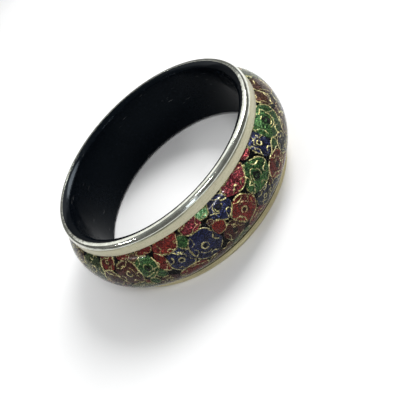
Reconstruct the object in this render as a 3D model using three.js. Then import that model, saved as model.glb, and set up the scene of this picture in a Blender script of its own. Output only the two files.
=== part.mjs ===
// A rigid bangle bracelet: a black-lined metal hoop whose outside carries a domed picture of
// roses under a clear coat. It lies flat on its lower rim. Millimetres, +Z up along the hoop's axis.
import * as THREE from "three";

// Driving dimensions
const WRIST_RADIUS = 32.5; // bare opening that the hand goes through
const WIDTH = 24.4; // from one rim to the other, along the axis
const RIM_RADIUS = 36.4; // outside of a rim, where the dome starts
const DOME_RISE = 4; // the dome's crown above the rims
const DOME_UPPER_REACH = 8.05; // from the crown up to the upper flange
const DOME_LOWER_REACH = 9.1; // and down to the lower flange, which is narrower
const DOME_POWER = 2.4; // 2 is a parabola; more makes a flatter crown with fuller shoulders
const FIT_GAP = 0.05; // stands for the solder, cement or enamel between two pieces
const LINER_WALL = 0.8;
const BAND_WALL = 0.8;
const LIP_REACH = 1.85; // how far the liner's lip spreads over the rim
const LIP_RISE = 1.3;
const LIP_EDGE = 0.4; // thickness of the lip where it ends
const BEAD_FLAT = 0.8; // flat top of the bead, which the bangle rests on
const BEAD_ROUND = 1; // rounding of the bead's outer edge
const BEAD_HEIGHT = 1.6;
const CREASE_DEPTH = 0.35; // how far the flange's top lies inside the rim radius
const CLEAR_THICKNESS = 0.55;
const PICTURE_THICKNESS = 0.3;
const GROUND_THICKNESS = 0.55;
const STEPS_ROUND = 72;
const DOME_STEPS = 9;
const CORNER_STEPS = 4;

const half = WIDTH / 2;
const bandInner = WRIST_RADIUS + LINER_WALL + FIT_GAP;
const seatRadius = bandInner + BAND_WALL + FIT_GAP; // what stands on the metal band starts here
const lipRadius = WRIST_RADIUS + LIP_REACH;
const beadInner = lipRadius + FIT_GAP;
const beadFoot = half - BEAD_HEIGHT;
const flangeTop = beadFoot - FIT_GAP;

const FINISHES = {
  black_gloss: { color: 0x0a0b0e, roughness: 0.15, metalness: 0 },
  hidden_metal: { color: 0x9a9484, roughness: 0.45, metalness: 1 },
  polished_rim: { color: 0xdcdccd, roughness: 0.12, metalness: 1 },
  satin_flange: { color: 0xbdb698, roughness: 0.38, metalness: 1 },
  core_resin: { color: 0x4a4038, roughness: 0.7, metalness: 0 },
  rose_picture: { color: 0x7a1c20, roughness: 0.35, metalness: 0.3 },
  clear_coat: { color: 0xf2f4f2, roughness: 0.05, metalness: 0, transparent: true, opacity: 0.3 },
};

const point = (r, z) => new THREE.Vector2(r, z);

// One hoop: a closed outline in (radius, height) turned about the axis.
function hoop(name, finish, outline) {
  const geometry = new THREE.LatheGeometry([...outline, outline[0]], STEPS_ROUND);
  geometry.rotateX(Math.PI / 2); // LatheGeometry turns about Y
  const mesh = new THREE.Mesh(geometry, new THREE.MeshStandardMaterial(FINISHES[finish]));
  mesh.name = name;
  return mesh;
}

// The same outline on the other side of the middle plane, still running the same way round.
const mirrored = (outline) => outline.map(({ x, y }) => point(x, -y)).reverse();

const rectangle = (inner, outer, reach) => [
  point(outer, -reach),
  point(outer, reach),
  point(inner, reach),
  point(inner, -reach),
];

// The dome's outline at a depth below the clear surface, from the lower edge to the upper.
function domeLine(depth) {
  const line = [];
  for (let i = 0; i < DOME_STEPS; i++) {
    const across = Math.sin((i / (DOME_STEPS - 1) - 0.5) * Math.PI); // closer steps at the shoulders
    const radius = RIM_RADIUS + DOME_RISE * (1 - Math.abs(across) ** DOME_POWER);
    const reach = across < 0 ? DOME_LOWER_REACH : DOME_UPPER_REACH;
    line.push(point(radius - depth, across * reach));
  }
  return line;
}

const domeLayer = (depth, thickness) => [
  ...domeLine(depth),
  ...domeLine(depth + thickness).reverse(),
];

// Black sleeve inside the hoop. Its lips spread over both rims.
function innerLiner() {
  const lip = new THREE.QuadraticBezierCurve(
    point(lipRadius, half),
    point(WRIST_RADIUS + 0.5 * LIP_REACH, half - 0.3 * LIP_RISE),
    point(WRIST_RADIUS, half - LIP_RISE),
  );
  const upper = [
    point(WRIST_RADIUS + LINER_WALL, half - LIP_RISE),
    point(lipRadius, half - LIP_EDGE),
    ...lip.getPoints(CORNER_STEPS),
  ];
  return hoop("inner_liner", "black_gloss", [...upper, ...mirrored(upper)]);
}

// Plain band that carries both rims and the dome. Nothing of it shows.
const metalBand = () =>
  hoop(
    "metal_band",
    "hidden_metal",
    rectangle(bandInner, bandInner + BAND_WALL, beadFoot),
  );

// Polished edge, flat on top and rounded on the outside.
function beadOutline() {
  const corner = new THREE.EllipseCurve(
    beadInner + BEAD_FLAT,
    half - BEAD_ROUND,
    BEAD_ROUND,
    BEAD_ROUND,
    0,
    Math.PI / 2,
  );
  return [
    point(RIM_RADIUS - CREASE_DEPTH, beadFoot),
    ...corner.getPoints(CORNER_STEPS),
    point(beadInner, half),
    point(beadInner, half - LIP_EDGE),
    point(seatRadius, half - LIP_EDGE - (beadInner - seatRadius)),
    point(seatRadius, beadFoot),
  ];
}

// Satin cheek between the bead and the dome, slightly conical.
const flangeOutline = (domeReach) => [
  point(seatRadius, domeReach + FIT_GAP),
  point(RIM_RADIUS, domeReach + FIT_GAP),
  point(RIM_RADIUS - CREASE_DEPTH, flangeTop),
  point(seatRadius, flangeTop),
];

function rims() {
  const bead = beadOutline();
  const upperFlange = flangeOutline(DOME_UPPER_REACH);
  const lowerFlange = mirrored(flangeOutline(DOME_LOWER_REACH));
  return [
    hoop("upper_bead", "polished_rim", bead),
    hoop("upper_flange", "satin_flange", upperFlange),
    hoop("lower_flange", "satin_flange", lowerFlange),
    hoop("lower_bead", "polished_rim", mirrored(bead)),
  ];
}

// Core, black ground, picture and clear coat, one over the other between the flanges.
function dome() {
  const pictureDepth = CLEAR_THICKNESS + FIT_GAP;
  const groundDepth = pictureDepth + PICTURE_THICKNESS + FIT_GAP;
  const coreDepth = groundDepth + GROUND_THICKNESS + FIT_GAP;
  const core = [
    ...domeLine(coreDepth),
    point(seatRadius, DOME_UPPER_REACH),
    point(seatRadius, -DOME_LOWER_REACH),
  ];
  return [
    hoop("dome_core", "core_resin", core),
    hoop("black_ground", "black_gloss", domeLayer(groundDepth, GROUND_THICKNESS)),
    hoop("rose_picture", "rose_picture", domeLayer(pictureDepth, PICTURE_THICKNESS)),
    hoop("clear_dome", "clear_coat", domeLayer(0, CLEAR_THICKNESS)),
  ];
}

const bangle = new THREE.Group();
bangle.add(innerLiner(), metalBand(), ...rims(), ...dome());
bangle.position.z = half; // the lower rim rests on Z = 0

export default bangle;
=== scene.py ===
"""A rigid bangle: black lining, pale metal rims and a domed band of foil roses under a clear coat.

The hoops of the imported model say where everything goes. The ones that show are turned again here
with their fine edges, and the roses, their gold lines and all the finishes are added.
"""

import math
import random

import bpy
import numpy as np
from mathutils import Matrix, Vector, noise


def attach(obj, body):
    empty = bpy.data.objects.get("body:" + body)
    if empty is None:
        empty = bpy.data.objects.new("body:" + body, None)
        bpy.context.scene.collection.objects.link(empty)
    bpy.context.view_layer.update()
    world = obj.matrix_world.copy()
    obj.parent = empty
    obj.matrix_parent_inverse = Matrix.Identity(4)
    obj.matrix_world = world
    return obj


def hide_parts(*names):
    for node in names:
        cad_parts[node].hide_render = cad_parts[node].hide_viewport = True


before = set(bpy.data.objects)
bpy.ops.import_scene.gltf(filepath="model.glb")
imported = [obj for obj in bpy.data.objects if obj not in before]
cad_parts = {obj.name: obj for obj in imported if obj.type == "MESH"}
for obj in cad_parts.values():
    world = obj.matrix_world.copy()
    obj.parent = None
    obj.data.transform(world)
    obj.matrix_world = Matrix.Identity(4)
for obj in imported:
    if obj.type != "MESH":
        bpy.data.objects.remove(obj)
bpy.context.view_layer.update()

MM = 0.001

# How the hoops are meshed
TURN_STEPS = 360
CORNER_STEPS = 5
DOME_STEPS = 44
ARC_STEPS = 1201


def extent(node):
    """Smallest and largest radius, lowest and highest point of one packed hoop."""
    points = [vertex.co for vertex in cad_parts[node].data.vertices]
    radii = [math.hypot(point.x, point.y) for point in points]
    heights = [point.z for point in points]
    return min(radii), max(radii), min(heights), max(heights)


WRIST, LIP, BOTTOM, TOP = extent("inner_liner")
SEAT, BEAD_RADIUS, BEAD_FOOT, _ = extent("upper_bead")
_, RIM, UPPER_FLANGE_FOOT, FLANGE_TOP = extent("upper_flange")
_, _, _, LOWER_FLANGE_FOOT = extent("lower_flange")
_, CROWN, DOME_FOOT, DOME_TOP = extent("clear_dome")
MIDDLE = (BOTTOM + TOP) / 2
HALF = TOP - MIDDLE
DOME_UP = DOME_TOP - MIDDLE  # from the crown up to the dome's upper edge
DOME_DOWN = MIDDLE - DOME_FOOT

# Lining: a sleeve with a groove and a round lip at each end
LINER_WALL = 0.8 * MM
LINING_EDGE = 0.1 * MM
GROOVE = 0.12 * MM
GROOVE_EDGE = 0.03 * MM
LIP_HEIGHT = 1.3 * MM  # from the groove to the end of the sleeve
LIP_EDGE = 0.4 * MM
LIP_OVERLAP = 0.03 * MM  # the black lip lies this much over the bead
LIP_FALL = 0.38 * MM  # the lip's middle below its outer edge
LIP_ROUND = 0.5 * MM
LIP_RAGGED = 0.07 * MM  # unevenness of the lip's outer edge
LIP_RAGGED_BAND = 0.15 * MM  # how far in from that edge it goes
LIP_RAGGED_LENGTH = 0.45 * MM  # size of its waves

# Rims: a round bead on a flat flange, with a crease between them
CREASE_DEPTH = 0.35 * MM
CREASE_GROOVE = 0.12 * MM
BEAD_SHOULDER = 0.35 * MM  # widest point of the bead above its foot
BEAD_SHOULDER_ROUND = 0.4 * MM
BEAD_SLOPE = 0.68 * MM  # how far the bead leans in from its shoulder to its flat top
BEAD_ROUND = 0.9 * MM
BEAD_CLEARANCE = 0.02 * MM  # between the bead and the black lip
BEAD_INNER_EDGE = 0.06 * MM
FLANGE_FOOT_EDGE = 0.12 * MM
FLANGE_TOP_EDGE = 0.22 * MM

# Dome: its curve, and its layers as depths below the clear surface
DOME_POWER = 2.4  # 2 would be an oval; more is fuller at the edges
FOIL_DEPTH = 0.60 * MM  # top of a rose below the clear surface
FOIL_PILLOW = 0.05 * MM
GROUND_DEPTH = 0.72 * MM
GROUND_THICKNESS = 0.5 * MM
GOLD_DEPTH = 0.50 * MM
SEAM = 0.28 * MM  # black line along the dome's lower edge
SEAM_PROUD = 0.03 * MM
SUNK = 0.06 * MM  # how far one layer reaches into the one below


# ---------------------------------------------------------------- meshes


def new_piece(name, vertices, faces, material, slot, *stands_for, sharp=40):
    """A smooth-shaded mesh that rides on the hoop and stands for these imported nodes."""
    mesh = bpy.data.meshes.new(name)
    mesh.from_pydata(vertices, [], faces)
    mesh.shade_smooth()
    mesh.set_sharp_from_angle(angle=math.radians(sharp))
    mesh.materials.append(material)
    piece = bpy.data.objects.new(name, mesh)
    bpy.context.scene.collection.objects.link(piece)
    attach(piece, "root")
    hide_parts(*stands_for)
    return piece


def soften(corners):
    """A closed outline from corners (radius, height, rounding), each corner turned into an arc."""
    outline = []
    for i, (radius, height, rounding) in enumerate(corners):
        here = Vector((radius, height))
        if rounding == 0:
            outline.append(here)
            continue
        back = Vector(corners[i - 1][:2]) - here
        ahead = Vector(corners[(i + 1) % len(corners)][:2]) - here
        start = here + back.normalized() * min(rounding, 0.5 * back.length)
        end = here + ahead.normalized() * min(rounding, 0.5 * ahead.length)
        for step in range(CORNER_STEPS + 1):
            t = step / CORNER_STEPS
            outline.append(start * (1 - t) ** 2 + here * 2 * t * (1 - t) + end * t**2)
    return outline


def turn(outline):
    """Vertices and faces of a closed outline of (radius, height over the middle) turned about Z."""
    count = len(outline)
    vertices = []
    for step in range(TURN_STEPS):
        angle = 2 * math.pi * step / TURN_STEPS
        for radius, height in outline:
            vertices.append((radius * math.cos(angle), radius * math.sin(angle), MIDDLE + height))
    faces = []
    for step in range(TURN_STEPS):
        here, ahead = step * count, (step + 1) % TURN_STEPS * count
        for i in range(count):
            j = (i + 1) % count
            faces.append((here + i, here + j, ahead + j, ahead + i))
    if signed_area(outline) > 0:
        faces = [face[::-1] for face in faces]
    return vertices, faces


def signed_area(outline):
    """Positive where the outline runs anticlockwise."""
    pairs = zip(outline, outline[1:] + outline[:1])
    return sum(a[0] * b[1] - b[0] * a[1] for a, b in pairs) / 2


def flipped(corners):
    """The same outline on the other side of the middle plane."""
    return [(radius, -height, rounding) for radius, height, rounding in reversed(corners)]


# ---------------------------------------------------------------- materials


def srgb(red, green, blue):
    """Colour for a socket from 0-255 display values."""

    def linear(value):
        value /= 255
        return value / 12.92 if value <= 0.04045 else ((value + 0.055) / 1.055) ** 2.4

    return linear(red), linear(green), linear(blue), 1.0


class Finish:
    """A material with one Principled shader, and short ways to add nodes before it."""

    def __init__(self, name, **sockets):
        self.material = bpy.data.materials.new(name)
        self.material.use_nodes = True
        self.tree = self.material.node_tree
        self.shader = self.tree.nodes["Principled BSDF"]
        self.output = self.tree.nodes["Material Output"]
        self.place = self.add("TexCoord").outputs["Object"]
        for socket, value in sockets.items():
            self.feed(self.shader.inputs[socket.replace("_", " ")], value)

    def feed(self, socket, value):
        """Gives a socket a fixed value, or links another node's output to it."""
        if isinstance(value, bpy.types.NodeSocket):
            self.tree.links.new(value, socket)
        else:
            socket.default_value = value

    def add(self, kind, inputs=(), **settings):
        """A new shader node with these settings and inputs."""
        made = self.tree.nodes.new("ShaderNode" + kind)
        for key, value in settings.items():
            setattr(made, key, value)
        for key, value in dict(inputs).items():
            self.feed(made.inputs[key], value)
        return made

    def noise(self, size, detail=2.0, stretch=(1, 1, 1)):
        """Soft random pattern with features of this size; stretch lengthens it along an axis."""
        squeeze = [1 / s for s in stretch]
        place = self.add("VectorMath", {0: self.place, 1: squeeze}, operation="MULTIPLY").outputs[0]
        return self.add(
            "TexNoise", {"Vector": place, "Scale": 1 / size, "Detail": detail}
        ).outputs["Fac"]

    def ramp(self, value, *stops):
        """Colour ramp over stops (position, colour)."""
        made = self.add("ValToRGB", {"Fac": value})
        elements = made.color_ramp.elements
        while len(elements) < len(stops):
            elements.new(0.5)
        for element, (position, colour) in zip(elements, stops):
            element.position = position
            element.color = colour
        return made.outputs["Color"]

    def spread(self, value, low, high, start=0.0, end=1.0):
        """Maps start..end of a pattern to low..high."""
        return self.add(
            "MapRange",
            {"Value": value, "From Min": start, "From Max": end, "To Min": low, "To Max": high},
        ).outputs[0]

    def multiply(self, colour, factor):
        """Darkens a colour by another."""
        return self.add(
            "Mix", {0: 1.0, 6: colour, 7: factor}, data_type="RGBA", blend_type="MULTIPLY"
        ).outputs[2]

    def lighten(self, colour, extra):
        """Adds a second colour to the first."""
        return self.add(
            "Mix", {0: 1.0, 6: colour, 7: extra}, data_type="RGBA", blend_type="ADD"
        ).outputs[2]

    def bump(self, height, rise, under=None):
        """Normal of a pattern that rises this much, over another bump or the plain surface."""
        inputs = {"Height": height, "Distance": rise, "Strength": 1.0}
        if under is not None:
            inputs["Normal"] = under
        return self.add("Bump", inputs).outputs["Normal"]

    def set(self, socket, value):
        """Feeds one of the Principled shader's own sockets."""
        self.feed(self.shader.inputs[socket], value)


def grey(level):
    """Grey for a socket or a ramp."""
    return level, level, level, 1.0


def polished_metal(name):
    """Bright pale metal with a slightly uneven polish, fine turning lines and a few pits."""
    finish = Finish(name, Metallic=1.0)
    tone = finish.noise(3 * MM)
    tone = finish.ramp(tone, (0.3, srgb(196, 197, 184)), (0.7, srgb(216, 218, 208)))
    pits = finish.ramp(finish.noise(0.3 * MM, detail=4), (0.3, grey(0.4)), (0.38, grey(1.0)))
    finish.set("Base Color", finish.multiply(tone, pits))
    wear = finish.noise(0.5 * MM, detail=5)
    finish.set("Roughness", finish.spread(wear, 0.07, 0.26, 0.35, 0.75))
    uneven = finish.bump(finish.noise(1.6 * MM, detail=1), 36e-3 * MM)
    lines = finish.noise(0.16 * MM, stretch=(40, 40, 1))
    finish.set("Normal", finish.bump(lines, 1.2e-3 * MM, uneven))
    return finish.material


def satin_metal(name, red, green, blue):
    """Pale metal brushed round the hoop, with specks and small scratches, around a colour."""

    def tint(level):
        return srgb(level * red, level * green, level * blue)

    finish = Finish(name, Metallic=1.0)
    grain = finish.noise(0.09 * MM, detail=3, stretch=(30, 30, 1))
    speck = finish.noise(0.22 * MM, detail=4)
    tone = finish.ramp(grain, (0.25, tint(0.9)), (0.5, tint(1.0)), (0.8, tint(1.08)))
    dirt = finish.ramp(speck, (0.3, grey(0.45)), (0.39, grey(0.92)), (0.6, grey(1.0)))
    finish.set("Base Color", finish.multiply(tone, dirt))
    finish.set("Roughness", finish.spread(speck, 0.3, 0.48, 0.3, 0.7))
    uneven = finish.bump(finish.noise(2.2 * MM, detail=1), 8e-3 * MM)
    finish.set("Normal", finish.bump(grain, 2.5e-3 * MM, uneven))
    return finish.material


def black_lining(name, gloss):
    """Black plastic with rubbed patches, dust and a few hairline scratches. gloss is its shine."""
    finish = Finish(name)
    finish.set("Specular IOR Level", gloss)
    finish.set("Specular Tint", (0.7, 0.86, 1.0, 1.0))
    dust = finish.noise(0.7 * MM, detail=6)
    tone = finish.ramp(
        dust, (0.4, srgb(3, 6, 10)), (0.66, srgb(8, 12, 18)), (0.78, srgb(26, 30, 36))
    )
    hairs = finish.noise(0.2 * MM, detail=1, stretch=(40, 40, 1))
    patches = finish.noise(5 * MM, detail=1)
    scratches = finish.multiply(
        finish.ramp(hairs, (0.72, grey(0.0)), (0.76, grey(0.16))),
        finish.ramp(patches, (0.55, grey(0.0)), (0.65, grey(1.0))),
    )
    finish.set("Base Color", finish.lighten(tone, scratches))
    rub = finish.noise(6 * MM, detail=4)
    finish.set("Roughness", finish.spread(rub, 0.1, 0.3, 0.3, 0.7))
    lines = finish.noise(0.12 * MM, detail=2, stretch=(22, 22, 1))
    finish.set("Normal", finish.bump(lines, 1.5e-3 * MM))
    return finish.material


STRAY_FLAKE = 0.22 * MM  # size of a flake on the black
FLAKE = 0.18 * MM  # size of a flake in a rose
FLAKE_TILT = 0.6  # how far a flake leans from the surface


def ground_black():
    """Black under the coat, with the faint speckle of stray flakes."""
    finish = Finish("ground_black", Roughness=0.5)
    finish.set("Specular IOR Level", 0.0)
    flakes = finish.add("TexVoronoi", {"Vector": finish.place, "Scale": 1 / STRAY_FLAKE})
    black, speckle, stray = srgb(6, 7, 9), srgb(12, 13, 16), srgb(44, 42, 38)
    tone = finish.ramp(flakes.outputs["Color"], (0.5, black), (0.8, speckle), (0.95, stray))
    finish.set("Base Color", tone)
    return finish.material


# Dark, middle and bright flakes of each foil
FOILS = {
    "rust": (srgb(26, 14, 10), srgb(58, 30, 24), srgb(134, 90, 66)),
    "red": (srgb(26, 4, 4), srgb(84, 13, 13), srgb(172, 62, 50)),
    "crimson": (srgb(30, 2, 9), srgb(86, 9, 25), srgb(186, 76, 84)),
    "maroon": (srgb(16, 4, 6), srgb(44, 11, 14), srgb(112, 52, 46)),
    "blue": (srgb(3, 3, 14), srgb(8, 10, 40), srgb(56, 66, 120)),
    "navy": (srgb(5, 6, 13), srgb(16, 19, 36), srgb(76, 82, 106)),
    "green": (srgb(3, 16, 7), srgb(18, 60, 28), srgb(104, 154, 86)),
    "moss": (srgb(8, 17, 8), srgb(33, 52, 29), srgb(118, 136, 92)),
    # This foil is a pale copy of the green one. Its lightness is partly the rose's own pale green
    # and partly painted highlight, for the rose under the lamp's glint.
    "mint_painted_highlight": (srgb(32, 82, 40), srgb(90, 152, 94), srgb(212, 238, 200)),
}
EYE_FOIL = (srgb(2, 2, 3), srgb(4, 5, 6), srgb(18, 19, 21))


def foil(name, dark, middle, bright):
    """Coloured foil: crushed flakes that each catch the light at their own tilt."""
    finish = Finish(name, Metallic=0.72, Roughness=0.32)
    cells = finish.add("TexVoronoi", {"Vector": finish.place, "Scale": 1 / FLAKE})
    random_colour = cells.outputs["Color"]
    shade = finish.ramp(random_colour, (0.28, dark), (0.48, middle), (0.64, middle), (0.78, bright))
    clouds = finish.ramp(finish.noise(1.6 * MM, detail=3), (0.3, grey(0.45)), (0.65, grey(1.0)))
    finish.set("Base Color", finish.multiply(shade, clouds))
    lean = finish.add("VectorMath", {0: random_colour, 1: (0.5, 0.5, 0.5)}, operation="SUBTRACT")
    lean = finish.add("VectorMath", {0: lean.outputs[0], "Scale": FLAKE_TILT}, operation="SCALE")
    surface = finish.add("NewGeometry").outputs["Normal"]
    leaning = finish.add("VectorMath", {0: surface, 1: lean.outputs[0]}, operation="ADD")
    facing = finish.add("VectorMath", {0: leaning.outputs[0]}, operation="NORMALIZE")
    finish.set("Normal", facing.outputs[0])
    return finish.material


def gilt():
    """Antique gold line, grainy and rubbed dark in places."""
    finish = Finish("gilt", Metallic=0.85)
    grain = finish.noise(0.24 * MM, detail=3)
    tone = finish.ramp(
        grain, (0.38, srgb(58, 51, 27)), (0.5, srgb(162, 152, 96)), (0.62, srgb(248, 242, 188))
    )
    finish.set("Base Color", tone)
    finish.set("Roughness", finish.spread(grain, 0.5, 0.28, 0.3, 0.7))
    finish.set("Normal", finish.bump(grain, 50e-3 * MM))
    return finish.material


def clear_coat():
    """Thick clear coat. Lamps shine straight through it; everything else refracts."""
    finish = Finish("clear_coat", Transmission_Weight=1.0, IOR=1.16)
    finish.set("Base Color", srgb(252, 252, 248))
    finish.set("Roughness", finish.spread(finish.noise(1.1 * MM, detail=5), 0.06, 0.1, 0.5, 0.8))
    finish.set("Normal", finish.bump(finish.noise(5 * MM, detail=0), 2e-3 * MM))
    through = finish.add("BsdfTransparent").outputs[0]
    shadow = finish.add("LightPath").outputs["Is Shadow Ray"]
    mixed = finish.add("MixShader", {0: shadow, 1: finish.shader.outputs[0], 2: through})
    finish.feed(finish.output.inputs["Surface"], mixed.outputs[0])
    return finish.material


def rough_stock(name, dark, bright, metallic):
    """Finish of the two hidden hoops."""
    finish = Finish(name, Metallic=metallic, Roughness=0.6)
    grain = finish.noise(0.4 * MM, detail=4)
    finish.set("Base Color", finish.ramp(grain, (0.35, dark), (0.65, bright)))
    return finish.material


# ---------------------------------------------------------------- lining and rims


def lining():
    """Sleeve of the opening, with a shallow groove and a round lip over the bead at each end."""
    lip_foot = HALF - LIP_HEIGHT
    upper = [
        (WRIST + LINER_WALL, lip_foot, 0),
        (LIP, HALF - LIP_EDGE, 0),
        (LIP, HALF + LIP_OVERLAP, LINING_EDGE),
        (WRIST + 0.5 * (LIP - WRIST), HALF - LIP_FALL, LIP_ROUND),
        (WRIST + GROOVE, lip_foot + GROOVE, LINING_EDGE),
        (WRIST + GROOVE, lip_foot, GROOVE_EDGE),
        (WRIST, lip_foot - GROOVE, LINING_EDGE),
    ]
    vertices, faces = turn(soften(upper + flipped(upper)))
    sleeve = black_lining("black_lining", 0.05)
    made = new_piece("lining", vertices, faces, sleeve, "liner_black", "inner_liner", sharp=50)
    made.data.materials.append(black_lining("black_lip", 0.11))
    for face in made.data.polygons:
        face.material_index = int(abs(face.center.z - MIDDLE) > lip_foot)
    for vertex in made.data.vertices:
        radius = math.hypot(vertex.co.x, vertex.co.y)
        if radius > LIP - LIP_RAGGED_BAND:
            shift = LIP_RAGGED * noise.noise(vertex.co / LIP_RAGGED_LENGTH)
            vertex.co.x *= 1 + shift / radius
            vertex.co.y *= 1 + shift / radius


def bead_corners():
    """Section of the upper bead, from the crease up and round to the lining."""
    foot = BEAD_FOOT - MIDDLE
    inner = LIP + BEAD_CLEARANCE
    return [
        (RIM - CREASE_DEPTH - CREASE_GROOVE, foot, 0),
        (BEAD_RADIUS, foot + BEAD_SHOULDER, BEAD_SHOULDER_ROUND),
        (BEAD_RADIUS - BEAD_SLOPE, HALF, BEAD_ROUND),
        (inner, HALF, BEAD_INNER_EDGE),
        (inner, HALF - LIP_EDGE, 0),
        (SEAT, HALF - 2 * LIP_EDGE, 0),
        (SEAT, foot, 0),
    ]


def flange_corners(foot):
    """Section of the upper flange, which leans in from its foot to the crease under the bead."""
    return [
        (SEAT, foot, 0),
        (RIM, foot, FLANGE_FOOT_EDGE),
        (RIM - CREASE_DEPTH, FLANGE_TOP - MIDDLE, FLANGE_TOP_EDGE),
        (SEAT, FLANGE_TOP - MIDDLE, 0),
    ]


def rims():
    """The two rims. The lower one is the upper one flipped, in a lighter, yellower copy of the satin
    metal: painted reflection standing in for the warm tan the lower rim shows.
    """
    polish = polished_metal("polished_metal")
    satin = satin_metal("satin_metal", 186, 182, 157)
    # Painted reflection: the lower rim's metal is a lighter, yellower copy of the satin metal,
    # standing in for the warm light it reflects from below.
    lower_painted_reflection = satin_metal("lower_rim_painted_reflection_metal", 206, 196, 156)
    for side, turned, foot, bead_finish, flange_finish in (
        ("upper", list, UPPER_FLANGE_FOOT - MIDDLE, polish, satin),
        ("lower", flipped, MIDDLE - LOWER_FLANGE_FOOT, lower_painted_reflection, lower_painted_reflection),
    ):
        for part, corners, finish, slot in (
            ("bead", bead_corners(), bead_finish, "polished_rim"),
            ("flange", flange_corners(foot), flange_finish, "satin_flange"),
        ):
            vertices, faces = turn(soften(turned(corners)))
            new_piece(f"{side}_rim_{part}", vertices, faces, finish, slot, f"{side}_{part}")


# ---------------------------------------------------------------- the dome's shape


def dome_radius(height):
    """Radius of the clear surface at a height from the crown."""
    span = DOME_UP if height > 0 else DOME_DOWN
    return RIM + (CROWN - RIM) * (1 - abs(height / span) ** DOME_POWER)


FINE_HEIGHTS = np.linspace(-DOME_DOWN, DOME_UP, ARC_STEPS)
FINE_RADII = np.array([dome_radius(height) for height in FINE_HEIGHTS])
ARC = np.concatenate([[0], np.cumsum(np.hypot(np.diff(FINE_HEIGHTS), np.diff(FINE_RADII)))])
ARC -= np.interp(0, FINE_HEIGHTS, ARC)  # arc length from the crown, upwards


def on_dome(along, across, depth):
    """Points on the dome as an (n, 3) array. along is measured round the crown from the front (-Y)
    towards +X, across over the arc from the crown up, and depth inwards from the clear surface."""
    across = np.asarray(across)
    angle = np.asarray(along) / CROWN
    radius = np.interp(across, ARC, FINE_RADII) - depth
    height = MIDDLE + np.interp(across, ARC, FINE_HEIGHTS)
    return np.stack([radius * np.sin(angle), -radius * np.cos(angle), height + 0 * radius], axis=-1)


def dome_layer(top, thickness):
    """Closed outline of one layer of the dome, from the depth of its top."""
    share = [math.sin((step / (DOME_STEPS - 1) - 0.5) * math.pi) for step in range(DOME_STEPS)]
    heights = [s * (DOME_UP if s > 0 else DOME_DOWN) for s in share]
    outer = [Vector((dome_radius(height) - top, height)) for height in heights]
    inner = [Vector((point.x - thickness, point.y)) for point in reversed(outer)]
    return outer + inner


def seam():
    """Black line on top of the lower flange, where the dome's lower edge meets it."""
    inner, outer = RIM - SEAM, RIM + SEAM_PROUD
    low, high = -DOME_DOWN - SEAM, -DOME_DOWN + SEAM_PROUD
    return [Vector(corner) for corner in ((inner, low), (outer, low), (outer, high), (inner, high))]


def dome_shells():
    """The clear coat, the black layer under the roses and the seam at its lower edge."""
    black = ground_black()
    coat = dome_layer(0, GROUND_DEPTH + SUNK)
    layer = dome_layer(GROUND_DEPTH, GROUND_THICKNESS)
    new_piece("clear_shell", *turn(coat), clear_coat(), "clear_coat", "clear_dome")
    new_piece("black_layer", *turn(layer), black, "ground_black", "black_ground")
    new_piece("black_seam", *turn(seam()), black, "ground_black", "black_ground")


# ---------------------------------------------------------------- roses

SEED = 7

# Roses of the side that faces the camera: angle round the hoop from the front in degrees, then
# distance up from the crown, half length and half height in millimetres, the foil and the eye.
FRONT_ROSES = [
    (84, 5.5, 4.4, 4.2, "moss", "none"),
    (71, 5.6, 4.6, 4.6, "rust", "none"),
    (60.5, 7.0, 2.9, 3.8, "rust", "none"),
    (46.6, 5.9, 6.5, 5.0, "green", "dark"),
    (34.3, 6.2, 3.2, 4.6, "blue", "ring"),
    (26.6, 8.9, 2.4, 1.5, "crimson", "none"),
    (15.3, 8.4, 6.4, 3.9, "crimson", "none"),
    (21.7, 3.1, 5.2, 4.1, "green", "dark"),
    (32.0, -1.9, 4.5, 3.6, "red", "dark"),
    (2.5, 6.3, 3.5, 4.3, "blue", "dark"),
    (8.6, 0.3, 4.2, 4.2, "red", "ring"),
    # Pale foil: partly painted highlight, since this rose lies where the front strip lamp glints.
    (-3.9, 8.9, 2.8, 2.2, "mint_painted_highlight", "none"),
    (-2.6, 2.4, 2.0, 1.9, "red", "none"),
    (0.8, -2.1, 3.2, 3.4, "maroon", "dark"),
    (-10.8, 7.9, 3.7, 2.3, "crimson", "none"),
    (-11.2, 0.9, 4.7, 5.1, "blue", "ring"),
    (-17.3, 5.7, 1.8, 1.8, "green", "none"),
    (-21.9, 1.3, 3.9, 3.9, "blue", "ring"),
    (-22.6, 7.6, 5.1, 2.9, "red", "none"),
    (-21.5, -4.8, 4.8, 2.9, "red", "none"),
    (-28.9, 3.0, 1.6, 4.6, "red", "none"),
    (-36, 3.5, 3.6, 4.0, "green", "dark"),
    (-32.6, 0.2, 1.7, 1.7, "green", "none"),
    (-34.3, 8.7, 3.2, 1.6, "red", "none"),
    (-45.7, 3.1, 4.4, 4.4, "maroon", "ring"),
    (-45.0, 8.8, 3.2, 1.5, "red", "none"),
    (-55.7, 7.3, 3.0, 2.8, "red", "ring"),
    (-56.6, 1.6, 3.2, 3.2, "maroon", "none"),
    (-67, 4.2, 5.2, 5.0, "moss", "ring"),
    (-79, 7.0, 3.4, 3.4, "rust", "ring"),
    (42.5, -1.6, 3.2, 3.0, "navy", "dark"),
    (54, -2.2, 4.4, 3.6, "rust", "dark"),
    (18.6, -3.4, 3.4, 3.0, "navy", "ring"),
    (-46, -4.6, 4.6, 3.4, "moss", "dark"),
    (-32.5, -5.0, 3.6, 3.6, "maroon", "ring"),
    (-10.5, -6.9, 3.8, 2.6, "maroon", "none"),
    (1.5, -7.4, 3.6, 2.2, "green", "none"),
]

BAND_TOP = ARC[-1] - 0.25 * MM  # black shows beyond these edges of the picture
BAND_FOOT = ARC[0] + 0.5 * MM
SPREAD = 1.03 * MM  # millimetres, and a little more: the roses press on each other

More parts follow.
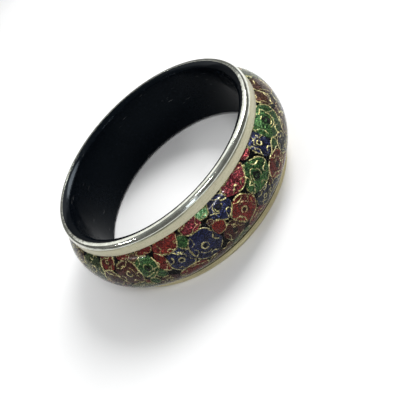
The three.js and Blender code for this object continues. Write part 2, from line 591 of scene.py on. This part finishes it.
# The rest of the hoop. Pairs are the smallest and the largest that is drawn.
ROWS = (6.3 * MM, 0.0 * MM, -6.6 * MM)  # distances up from the crown
ROW_COUNT = 29
ROW_SIZES = (3.4, 4.5)  # mm
ROW_LENGTHS = (0.95, 1.15)  # shares of the size
ROW_HEIGHTS = (0.85, 1.0)
STRAY_ALONG = (-0.8, 0.8)  # mm out of line
STRAY_ACROSS = (-0.7, 0.7)
FILL_FOILS = ("red", "blue", "green", "rust", "maroon", "crimson", "red", "navy", "green", "blue")
FILL_EYES = ("ring", "ring", "dark")
CROWDED = 0.72  # roses nearer than this share of their two sizes would be one too many
BESIDE = 1.6  # roses nearer than this share of their two sizes have different foils
BUD_TRIES = 5200
BUD_SIZES = (0.8, 1.9)  # mm
BUD_LENGTHS = (0.9, 1.4)
BUD_INSIDE = 0.4  # share of a bud's size that its centre keeps from the band's edges
BUD_FOILS = ("red", "green", "maroon", "crimson", "moss", "rust")
BUD_ROOM = 0.55  # share of a bud that has to fit beside each rose

# Outlines
OUTLINE_STEPS = 48
GAP = 0.05 * MM  # black between two roses
NEIGHBOURHOOD = 12 * MM  # roses further away than this don't press
PETAL_COUNTS = (5, 6, 7)
PETAL_WAVE = 0.035  # how much the petals swell the outline, as a share of it
LEAST_FACING = 0.2  # a neighbour holds back only the directions that face it
LEAST_RISE = 0.01  # flatter directions never meet the band's edges
LEAST_REACH = 0.2 * MM
CREST = (0.0, 0.4, 0.75, 0.92, 1.0)  # rings of a rose's mesh, as shares of its outline
ROUND_SHARE = 0.7  # inside this share of a rose its lines are rounder than its edge

# Gold lines. Widths are half widths.
STROKE_STEP = 0.26 * MM
STROKE_JITTER = 0.35  # unevenness, as a share of the width
STROKE_END = 0.5  # width at both ends, as a share
STROKE_WANDER = 0.06 * MM  # how far a line strays sideways
STROKE_BREAKS = (1, 0.9, 0.7, 1.2, 0.4, 0.1)  # shares of the width that a line takes on its way
RING_BREAKS = (1, 1, 0.7)  # the same for the ring of an eye, which is hardly broken
ARC_STEP = math.radians(8)
SMALL_ROSE = 2.4 * MM  # a smaller rose has a thin outline and no petals
SMALL_LINE = 0.6  # how thin, as a share of a large rose's outline
OUTLINE_WIDTHS = (0.2, 0.3)  # mm, smallest and largest
PETAL_WIDTHS = (0.18, 0.28)
PETAL_LINES = (3, 4, 5)
PETAL_SWEEPS = (0.35, 0.7)  # share of its part of the round that a petal's line takes
MIDDLE_SHARES = (0.42, 0.52)  # where the short arc between the petals and the eye lies
MIDDLE_WIDTH = 0.2 * MM
RING_WIDTH = 0.27 * MM
EYE_LINE_WIDTH = 0.22 * MM

# Eyes, in shares of the rose
EYE_SHARE = {"ring": 0.13, "dark": 0.28}
RING_SHARE = 0.21
EYE_LINE_GAP = 0.06  # from the black of a dark eye to the gold round it
EYE_PINCH = 1.3  # 2 would be an oval, 1 a diamond
EYE_STEPS = 24
EYE_PROUD = 0.03 * MM  # above the foil


class Rose:
    """One rose on the unrolled dome. Its eye is a ring, dark or none."""

    def __init__(self, along, across, half_length, half_height, foil_name, eye):
        self.along = along
        self.across = across
        self.half_length = half_length
        self.half_height = half_height
        self.foil_name = foil_name
        self.eye = eye
        self.size = (half_length + half_height) / 2

    def settle(self, edge):
        """Takes its edge, as distances from the centre, once all the roses are known."""
        self.edge = edge
        self.mean_reach = sum(edge) / OUTLINE_STEPS

    def reach(self, angle):
        """Distance from the centre to the free outline in a direction on the unrolled dome."""
        return (self.half_length * self.half_height) / math.hypot(
            self.half_height * math.cos(angle), self.half_length * math.sin(angle)
        )

    def offset(self, other):
        """Vector to another rose on the unrolled dome, the short way round."""
        round_trip = 2 * math.pi * CROWN
        along = (other.along - self.along + round_trip / 2) % round_trip - round_trip / 2
        return Vector((along, other.across - self.across))


def front_roses():
    """The roses of the side that faces the camera."""
    roses = []
    for angle, across, length, height, foil_name, eye in FRONT_ROSES:
        along = math.radians(angle) * CROWN
        roses.append(Rose(along, across * MM, SPREAD * length, SPREAD * height, foil_name, eye))
    return roses


def within(rose, roses, share):
    """The roses nearer to this one than a share of the two sizes."""
    return [other for other in roses if rose.offset(other).length < share * (rose.size + other.size)]


def fill_rows(roses, draw):
    """Carries the pattern round the rest of the hoop in three rows, where no rose is yet."""
    pitch = 2 * math.pi * CROWN / ROW_COUNT
    for row, across in enumerate(ROWS):
        for i in range(ROW_COUNT):
            size = draw.uniform(*ROW_SIZES) * MM
            rose = Rose(
                along=(i + 0.5 * (row % 2)) * pitch + draw.uniform(*STRAY_ALONG) * MM,
                across=across + draw.uniform(*STRAY_ACROSS) * MM,
                half_length=size * draw.uniform(*ROW_LENGTHS),
                half_height=size * draw.uniform(*ROW_HEIGHTS),
                foil_name=draw.choice(FILL_FOILS),
                eye=draw.choice(FILL_EYES),
            )
            if within(rose, roses, CROWDED):
                continue
            beside = {other.foil_name for other in within(rose, roses, BESIDE)}
            free = [name for name in FILL_FOILS if name not in beside]
            if rose.foil_name in beside and free:
                rose.foil_name = draw.choice(free)
            roses.append(rose)


def fill_gaps(roses, draw):
    """Small buds and leaves on the black that is left between the roses."""
    for _ in range(BUD_TRIES):
        size = draw.uniform(*BUD_SIZES) * MM
        inside = BUD_INSIDE * size
        bud = Rose(
            along=draw.uniform(0, 2 * math.pi) * CROWN,
            across=draw.uniform(BAND_FOOT + inside, BAND_TOP - inside),
            half_length=size * draw.uniform(*BUD_LENGTHS),
            half_height=size,
            foil_name=draw.choice(BUD_FOILS),
            eye="none",
        )
        room = BUD_ROOM * bud.size
        if all(bud.offset(rose).length > room + reach_towards(rose, bud) for rose in roses):
            roses.append(bud)


def reach_towards(rose, other):
    """How far a rose's free outline comes towards another rose."""
    way = rose.offset(other)
    return rose.reach(math.atan2(way.y, way.x))


def outline(rose, roses, draw):
    """Distances from a rose's centre to its edge, held back by its neighbours and by the band."""
    petals = draw.choice(PETAL_COUNTS)
    phase = draw.uniform(0, 2 * math.pi)
    near = []
    for other in roses:
        way = rose.offset(other)
        if other is rose or way.length > NEIGHBOURHOOD:
            continue
        heading = math.atan2(way.y, way.x)
        mine, theirs = rose.reach(heading), other.reach(heading + math.pi)
        near.append((heading, way.length * mine / (mine + theirs) - GAP / 2))
    distances = []
    for step in range(OUTLINE_STEPS):
        angle = 2 * math.pi * step / OUTLINE_STEPS
        distance = rose.reach(angle) * (1 + PETAL_WAVE * math.cos(petals * angle + phase))
        for heading, wall in near:
            facing = math.cos(angle - heading)
            if facing > LEAST_FACING:
                distance = min(distance, wall / facing)
        rise = math.sin(angle)
        if abs(rise) > LEAST_RISE:
            room = ((BAND_TOP if rise > 0 else BAND_FOOT) - rose.across) / rise
            distance = min(distance, room)
        distances.append(max(distance, LEAST_REACH))
    return [  # each with a little of the ones beside it, so that corners are soft
        (distances[i - 1] + 2 * distances[i] + distances[(i + 1) % OUTLINE_STEPS]) / 4
        for i in range(OUTLINE_STEPS)
    ]


def edge_point(rose, angle, share):
    """Point of the unrolled dome at a share of the way from a rose's centre to its edge. Near the
    centre the lines are round; further out they take the shape of the edge."""
    position = (angle / (2 * math.pi) % 1) * OUTLINE_STEPS
    i = int(position)
    blend = position - i
    before, after = rose.edge[i % OUTLINE_STEPS], rose.edge[(i + 1) % OUTLINE_STEPS]
    edge = before * (1 - blend) + after * blend
    shaped = min(1.0, share / ROUND_SHARE)
    distance = share * (shaped * edge + (1 - shaped) * rose.mean_reach)
    return (
        rose.along + distance * math.cos(angle),
        min(max(rose.across + distance * math.sin(angle), BAND_FOOT), BAND_TOP),
    )


class Body:
    """Vertices and faces of many small closed bodies that make one piece."""

    def __init__(self):
        self.vertices = []
        self.faces = []

    def add(self, points, faces):
        """Takes one more closed body."""
        start = len(self.vertices)
        self.vertices += points.tolist()
        self.faces += [tuple(start + i for i in face) for face in faces]


def petal_body(body, rose):
    """One foil patch: a low pillow whose skirt goes into the black layer."""
    angles = [2 * math.pi * step / OUTLINE_STEPS for step in range(OUTLINE_STEPS)]
    flat = [(rose.along, rose.across)]
    depths = [FOIL_DEPTH]
    for share in CREST[1:]:
        flat += [edge_point(rose, angle, share) for angle in angles]
        depths += [FOIL_DEPTH + FOIL_PILLOW * share**6] * OUTLINE_STEPS
    flat += [edge_point(rose, angle, 1) for angle in angles]
    depths += [GROUND_DEPTH + SUNK] * OUTLINE_STEPS
    flat = np.array(flat)
    points = on_dome(flat[:, 0], flat[:, 1], np.array(depths))
    faces = []
    for i in range(OUTLINE_STEPS):
        j = (i + 1) % OUTLINE_STEPS
        faces.append((0, 1 + i, 1 + j))
        for ring in range(len(CREST) - 1):
            low, high = 1 + ring * OUTLINE_STEPS, 1 + (ring + 1) * OUTLINE_STEPS
            faces.append((low + i, high + i, high + j, low + j))
    last = 1 + (len(CREST) - 1) * OUTLINE_STEPS
    faces.append(tuple(last + i for i in reversed(range(OUTLINE_STEPS))))
    body.add(points, faces)


def stroke(body, line, draw, half_width, breaks=STROKE_BREAKS):
    """One raised gold line along points of the unrolled dome, uneven in width, with narrow ends."""
    line = np.array(line)
    lengths = np.concatenate([[0], np.cumsum(np.hypot(*np.diff(line, axis=0).T))])
    if lengths[-1] < 2 * STROKE_STEP:
        return
    count = max(3, round(lengths[-1] / STROKE_STEP) + 1)
    stops = np.linspace(0, lengths[-1], count)
    x, y = np.interp(stops, lengths, line[:, 0]), np.interp(stops, lengths, line[:, 1])
    y = np.clip(y, BAND_FOOT, BAND_TOP)
    heading = np.stack([np.gradient(x), np.gradient(y)])
    heading /= np.maximum(np.hypot(*heading), 1e-9)  # never by zero
    width = half_width * np.array([1 + draw.uniform(-1, 1) * STROKE_JITTER for _ in range(count)])
    width *= [draw.choice(breaks) for _ in range(count)]
    width[[0, -1]] *= STROKE_END
    wander = np.array([draw.uniform(-1, 1) * STROKE_WANDER for _ in range(count)])
    x, y = x - heading[1] * wander, y + heading[0] * wander
    side_x, side_y = -heading[1] * width, heading[0] * width
    sunk = FOIL_DEPTH + SUNK
    rows = [
        on_dome(x + side_x, y + side_y, sunk),
        on_dome(x, y, GOLD_DEPTH),
        on_dome(x - side_x, y - side_y, sunk),
        on_dome(x, y, sunk + SUNK),
    ]
    points = np.stack(rows, axis=1).reshape(-1, 3)
    faces = [(3, 2, 1, 0)]
    for i in range(count - 1):
        here, ahead = 4 * i, 4 * (i + 1)
        for k in range(4):
            m = (k + 1) % 4
            faces.append((here + k, here + m, ahead + m, ahead + k))
    faces.append(tuple(4 * (count - 1) + k for k in range(4)))
    body.add(points, faces)


def arc(rose, start, end, share, bulge):
    """Line round a rose from one angle to another that swells outwards in its middle."""
    steps = max(4, round(abs(end - start) / ARC_STEP))
    line = []
    for step in range(steps + 1):
        t = step / steps
        swell = bulge * math.sin(math.pi * t)
        line.append(edge_point(rose, start + (end - start) * t, share + swell))
    return line


def bracket(rose, angle, sweep, draw):
    """Edge of one petal: in from the outline, then along inside it, then out again a little."""
    deep = draw.uniform(0.58, 0.72)
    corners = ((0.0, 0.94), (0.12, 0.8), (0.25, deep), (0.6, deep - 0.05), (1.0, deep + 0.1))
    return [edge_point(rose, angle + sweep * along, share) for along, share in corners]


def draw_lines(gold, rose, draw):
    """The gold drawing of one rose: broken outline, petals and the ring of the eye."""
    full = 2 * math.pi

    def loop(share, parts, least, most, half_width, bulge=0.0, breaks=STROKE_BREAKS):
        """Arcs round the rose at a share of it, each over least..most of its part."""
        at = draw.uniform(0, full)
        for k in range(parts):
            start = at + full * k / parts
            sweep = full / parts * draw.uniform(least, most)
            line = arc(rose, start, start + sweep, share, bulge * draw.uniform(0.4, 1))
            stroke(gold, line, draw, half_width, breaks)

    small = rose.size < SMALL_ROSE
    half_width = (SMALL_LINE if small else 1.0) * draw.uniform(*OUTLINE_WIDTHS) * MM
    loop(0.97, parts=4, least=0.3, most=0.95, half_width=half_width)
    if small:
        return
    petals = draw.choice(PETAL_LINES)
    at = draw.uniform(0, full)
    for k in range(petals):
        sweep = draw.choice((-1, 1)) * draw.uniform(*PETAL_SWEEPS) * full / petals
        line = bracket(rose, at + full * k / petals, sweep, draw)
        stroke(gold, line, draw, draw.uniform(*PETAL_WIDTHS) * MM)
    if rose.eye == "none":
        return
    middle = draw.uniform(*MIDDLE_SHARES)
    loop(middle, parts=1, least=0.2, most=0.45, half_width=MIDDLE_WIDTH, bulge=0.05)
    if rose.eye == "ring":
        loop(RING_SHARE, parts=1, least=0.85, most=0.98, half_width=RING_WIDTH, breaks=RING_BREAKS)
    elif rose.eye == "dark":
        around = EYE_SHARE["dark"] + EYE_LINE_GAP
        loop(around, parts=2, least=0.25, most=0.6, half_width=EYE_LINE_WIDTH)


def eye_body(eyes, rose):
    """Black middle of a rose, just over its foil."""
    rim = []
    for step in range(EYE_STEPS):
        angle = 2 * math.pi * step / EYE_STEPS
        spread = abs(math.cos(angle)) ** EYE_PINCH + abs(math.sin(angle)) ** EYE_PINCH
        rim.append(edge_point(rose, angle, EYE_SHARE[rose.eye] * spread ** (-1 / EYE_PINCH)))
    rim = np.array(rim)
    top = on_dome(rim[:, 0], rim[:, 1], FOIL_DEPTH - EYE_PROUD)
    foot = on_dome(rim[:, 0], rim[:, 1], FOIL_DEPTH + SUNK)
    faces = [tuple(range(EYE_STEPS)), tuple(reversed(range(EYE_STEPS, 2 * EYE_STEPS)))]
    for i in range(EYE_STEPS):
        j = (i + 1) % EYE_STEPS
        faces.append((i, EYE_STEPS + i, EYE_STEPS + j, j))
    eyes.add(np.concatenate([top, foot]), faces)


def picture():
    """All the roses: one piece for each foil, one for the gold lines and one for the eyes."""
    draw = random.Random(SEED)
    roses = front_roses()
    fill_rows(roses, draw)
    fill_gaps(roses, draw)
    petals = {name: Body() for name in FOILS}
    gold, eyes = Body(), Body()
    for rose in roses:
        rose.settle(outline(rose, roses, draw))
        petal_body(petals[rose.foil_name], rose)
        draw_lines(gold, rose, draw)
        if rose.eye != "none":
            eye_body(eyes, rose)
    pieces = []
    for name, body in petals.items():
        pieces.append(("roses_" + name, body, foil("foil_" + name, *FOILS[name])))
    pieces.append(("gold_lines", gold, gilt()))
    pieces.append(("rose_eyes", eyes, foil("foil_eye", *EYE_FOIL)))
    for name, body, finish in pieces:
        new_piece(name, body.vertices, body.faces, finish, "rose_picture", "rose_picture")


# ---------------------------------------------------------------- hidden hoops


def hidden_hoops():
    """Finishes of the two packed hoops inside the dome, whose shapes stay as they are."""
    for node, name, dark, bright, metallic in (
        ("metal_band", "band_metal", srgb(120, 114, 100), srgb(168, 162, 146), 1.0),
        ("dome_core", "core_resin", srgb(58, 50, 44), srgb(84, 74, 64), 0.0),
    ):
        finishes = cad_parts[node].data.materials
        finishes.clear()
        finishes.append(rough_stock(name, dark, bright, metallic))


# ---------------------------------------------------------------- floor, light and camera

FLOOR_RADIUS = 6.0
FLOOR_STEPS = 96
WALLS = grey(0.17)
CEILING = (0.31, 0.32, 0.32, 1)
HORIZON, OVERHEAD = 0.5, 0.95  # where the room has these colours

CAMERA_ELEVATION = math.radians(38.0)
CAMERA_ROLL = math.radians(45.72)  # the bangle stands askew in the picture
CAMERA_DISTANCE = 145.6 * MM
CAMERA_AIM = Vector((-0.35 * MM, -22.98 * MM, MIDDLE))
CAMERA_LENS = 46.1
CAMERA_SENSOR = 36

# Each lamp: name, azimuth and elevation in degrees, width and height in metres, radiance, colour
LAMP_DISTANCE = 0.7
WHITE = (1, 1, 1)
LAMPS = (
    ("key", 112, 45, 0.3, 0.3, 15, WHITE),
    ("back", 180, 49, 1.15, 0.4, 1.2, WHITE),
    ("strip_front", 12, 50, 0.2, 0.016, 135, WHITE),
    ("window", -8, 19, 0.12, 0.25, 2.5, (0.8, 0.88, 1.0)),
    ("strip_left", -81, 29, 0.2, 0.018, 64, WHITE),
)


def floor():
    """A plain pale floor."""
    finish = Finish("paper", Roughness=0.9)
    tone = finish.ramp(finish.noise(40 * MM, detail=3), (0.3, grey(0.9)), (0.7, grey(0.93)))
    finish.set("Base Color", tone)
    mesh = bpy.data.meshes.new("floor")
    angles = [2 * math.pi * step / FLOOR_STEPS for step in range(FLOOR_STEPS)]
    edge = [(FLOOR_RADIUS * math.cos(a), FLOOR_RADIUS * math.sin(a), 0.0) for a in angles]
    mesh.from_pydata(edge, [], [tuple(range(FLOOR_STEPS))])
    mesh.materials.append(finish.material)
    made = bpy.data.objects.new("floor", mesh)
    bpy.context.scene.collection.objects.link(made)


def direction(azimuth, elevation):
    """Unit vector; azimuth in degrees from -Y towards +X, elevation above the floor."""
    a, e = math.radians(azimuth), math.radians(elevation)
    return Vector((math.sin(a) * math.cos(e), -math.cos(a) * math.cos(e), math.sin(e)))


def lamp(name, azimuth, elevation, width, height, radiance, colour):
    """Rectangular lamp that faces the bangle. radiance is what a mirror would show of it."""
    light = bpy.data.lights.new(name, "AREA")
    light.shape = "RECTANGLE"
    light.size, light.size_y = width, height
    light.energy = radiance * math.pi * width * height
    light.color = colour
    made = bpy.data.objects.new(name, light)
    bpy.context.scene.collection.objects.link(made)
    towards = direction(azimuth, elevation)
    made.location = Vector((0, 0, MIDDLE)) + towards * LAMP_DISTANCE
    made.rotation_euler = towards.to_track_quat("Z", "Y").to_euler()


def surroundings():
    """Room light: a bright ceiling over darker walls."""
    world = bpy.data.worlds.new("room")
    world.use_nodes = True
    bpy.context.scene.world = world
    tree = world.node_tree
    place = tree.nodes.new("ShaderNodeTexCoord")
    split = tree.nodes.new("ShaderNodeSeparateXYZ")
    ramp = tree.nodes.new("ShaderNodeValToRGB")
    tree.links.new(place.outputs["Generated"], split.inputs[0])
    tree.links.new(split.outputs["Z"], ramp.inputs["Fac"])
    tree.links.new(ramp.outputs["Color"], tree.nodes["Background"].inputs["Color"])
    elements = ramp.color_ramp.elements
    for element, position, colour in zip(elements, (HORIZON, OVERHEAD), (WALLS, CEILING)):
        element.position = position
        element.color = colour


def camera():
    """Looks down on the front of the bangle."""
    data = bpy.data.cameras.new("camera")
    data.sensor_width = CAMERA_SENSOR
    data.lens = CAMERA_LENS
    data.clip_start = 0.01
    data.clip_end = 50
    made = bpy.data.objects.new("camera", data)
    bpy.context.scene.collection.objects.link(made)
    back = direction(0, math.degrees(CAMERA_ELEVATION))
    place = Matrix.Translation(CAMERA_AIM + back * CAMERA_DISTANCE)
    tilt = Matrix.Rotation(math.pi / 2 - CAMERA_ELEVATION, 4, "X")
    made.matrix_world = place @ tilt @ Matrix.Rotation(-CAMERA_ROLL, 4, "Z")
    bpy.context.scene.camera = made


# ---------------------------------------------------------------- build

lining()
rims()
dome_shells()
picture()
hidden_hoops()
floor()
surroundings()
for settings in LAMPS:
    lamp(*settings)
camera()
bpy.context.scene.view_settings.view_transform = "Standard"
